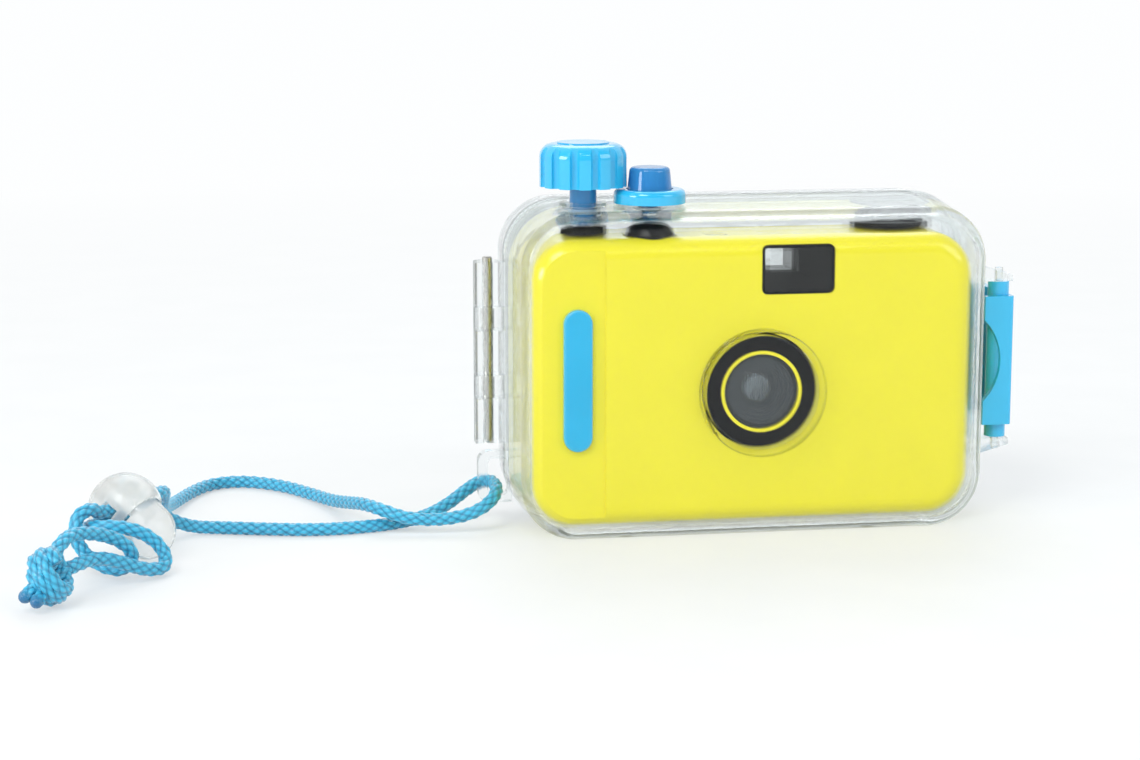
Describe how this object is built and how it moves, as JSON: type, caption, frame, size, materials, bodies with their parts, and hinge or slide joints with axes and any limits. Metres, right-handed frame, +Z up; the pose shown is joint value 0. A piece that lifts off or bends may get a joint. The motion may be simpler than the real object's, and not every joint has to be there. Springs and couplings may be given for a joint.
{
  "type": "underwater film camera",
  "caption": "Small 35 mm film camera shut in a clear hinged waterproof case, with a winding knob, a shutter release, a side latch and a braided wrist cord with a cord lock.",
  "frame": {"origin": "under the middle of the camera, on the surface the case stands on", "axes": "+X to the right of a viewer who faces the lens, +Y from the lens to the film, +Z up"},
  "size_m": [0.2385, 0.1194, 0.0938],
  "materials": {
    "clear_plastic": "clear polished plastic",
    "yellow_plastic": "satin yellow",
    "blue_plastic": "gloss sky blue",
    "blue_button": "darker translucent blue",
    "black_plastic": "matte black",
    "gloss_black": "gloss black",
    "lens_glass": "coated glass",
    "steel": "brushed",
    "blue_cord": "braided",
    "milky_plastic": "milky clear"
  },
  "bodies": {
    "case_and_camera": {"case_front_shell": "clear_plastic", "case_gasket": "milky_plastic", "hinge_pin": "steel", "winding_seal": "milky_plastic", "shutter_collar": "blue_plastic", "shutter_seal": "milky_plastic", "shutter_return_spring": "steel", "latch_pin": "clear_plastic", "camera_front_cover": "yellow_plastic", "counter_window": "clear_plastic", "camera_grip_bar": "blue_plastic", "lens_barrel": "black_plastic", "lens_bezel_ring": "gloss_black", "lens_trim_ring": "yellow_plastic", "lens_window": "lens_glass", "front_lens": "lens_glass", "rear_lens": "lens_glass", "camera_chassis": "black_plastic", "shutter_pin": "steel", "viewfinder_funnel": "black_plastic", "viewfinder_window": "lens_glass", "viewfinder_eyepiece": "clear_plastic", "camera_button_spring": "steel", "door_hinge_pin": "steel", "camera_screws": "steel", "cord_strand_front": "blue_cord", "cord_strand_back": "blue_cord", "cord_knot": "blue_cord", "cord_lock_body": "milky_plastic", "cord_lock_spring": "steel"},
    "case_cover": {"case_back_cover": "clear_plastic"},
    "latch": {"latch_lever": "blue_plastic"},
    "camera_door": {"camera_back_door": "black_plastic", "film_pressure_plate": "black_plastic", "pressure_spring": "steel"},
    "winding": {"winding_knob": "blue_plastic", "winding_shaft": "blue_button", "winding_clip": "steel"},
    "film_advance": {"advance_wheel": "black_plastic", "take_up_spool": "black_plastic"},
    "sprocket": {"film_sprocket": "black_plastic"},
    "counter": {"frame_counter_dial": "milky_plastic"},
    "release_plunger": {"shutter_plunger": "blue_button"},
    "camera_button": {"camera_shutter_button": "black_plastic"},
    "blade": {"shutter_blade": "steel"},
    "rewind": {"rewind_crank": "black_plastic", "rewind_shaft": "black_plastic"},
    "rewind_release": {"rewind_release_button": "black_plastic"},
    "cord_lock_button": {"cord_lock_button": "milky_plastic"}
  },
  "joints": [
    {"name": "case_back_open", "type": "hinge", "parent": "case_and_camera", "child": "case_cover", "pos_m": [-0.0613, 0.005, 0.04], "axis": [0, 0, 1], "range_deg": [0, 110]},
    {"name": "latch_open", "type": "hinge", "parent": "case_and_camera", "child": "latch", "pos_m": [0.0638, -0.006, 0.0367], "axis": [0, 0, 1], "range_deg": [-165, 0]},
    {"name": "camera_door_open", "type": "hinge", "parent": "case_and_camera", "child": "camera_door", "pos_m": [-0.0507, 0.0166, 0.03], "axis": [0, 0, 1], "range_deg": [0, 77]},
    {"name": "winding_turn", "type": "hinge", "parent": "case_and_camera", "child": "winding", "pos_m": [-0.0397, -0.006, 0.08], "axis": [0, 0, 1], "continuous": true},
    {"name": "film_advance_turn", "type": "hinge", "parent": "case_and_camera", "child": "film_advance", "pos_m": [-0.0397, -0.006, 0.04], "axis": [0, 0, 1], "continuous": true},
    {"name": "sprocket_turn", "type": "hinge", "parent": "case_and_camera", "child": "sprocket", "pos_m": [-0.0234, 0.0092, 0.035], "axis": [0, 0, 1], "continuous": true},
    {"name": "counter_turn", "type": "hinge", "parent": "case_and_camera", "child": "counter", "pos_m": [-0.0085, -0.0075, 0.07], "axis": [0, 0, 1], "continuous": true},
    {"name": "shutter_press", "type": "slide", "parent": "case_and_camera", "child": "release_plunger", "axis": [0, 0, -1], "range_m": [0, 0.002], "stiffness_N_per_m": 400, "springref_m": -0.002, "deforming": ["shutter_return_spring"]},
    {"name": "camera_button_press", "type": "slide", "parent": "case_and_camera", "child": "camera_button", "axis": [0, 0, -1], "range_m": [0, 0.0015], "stiffness_N_per_m": 200, "springref_m": -0.002, "deforming": ["camera_button_spring"]},
    {"name": "shutter_blade_swing", "type": "hinge", "parent": "case_and_camera", "child": "blade", "pos_m": [-0.0071, -0.0095, 0.035], "axis": [0, 1, 0], "range_deg": [0, 60]},
    {"name": "rewind_turn", "type": "hinge", "parent": "case_and_camera", "child": "rewind", "pos_m": [0.0365, -0.002, 0.07], "axis": [0, 0, 1], "continuous": true},
    {"name": "rewind_release_press", "type": "slide", "parent": "case_and_camera", "child": "rewind_release", "axis": [0, 0, 1], "range_m": [0, 0.001], "stiffness_N_per_m": 300, "springref_m": -0.001},
    {"name": "cord_lock_press", "type": "slide", "parent": "case_and_camera", "child": "cord_lock_button", "axis": [-0.6444, 0.485, 0.5912], "range_m": [0, 0.0023], "stiffness_N_per_m": 500, "springref_m": -0.002, "deforming": ["cord_lock_spring"]}
  ],
  "couplings": [
    {"joint": "latch_open", "follows": "case_back_open", "ratio": -1.5},
    {"joint": "camera_door_open", "follows": "case_back_open", "ratio": 0.7},
    {"joint": "film_advance_turn", "follows": "winding_turn", "ratio": 1},
    {"joint": "sprocket_turn", "follows": "winding_turn", "ratio": 1.23},
    {"joint": "counter_turn", "follows": "winding_turn", "ratio": -0.023},
    {"joint": "camera_button_press", "follows": "shutter_press", "ratio": 0.75},
    {"joint": "shutter_blade_swing", "follows": "shutter_press", "rad_per_m": 520}
  ]
}
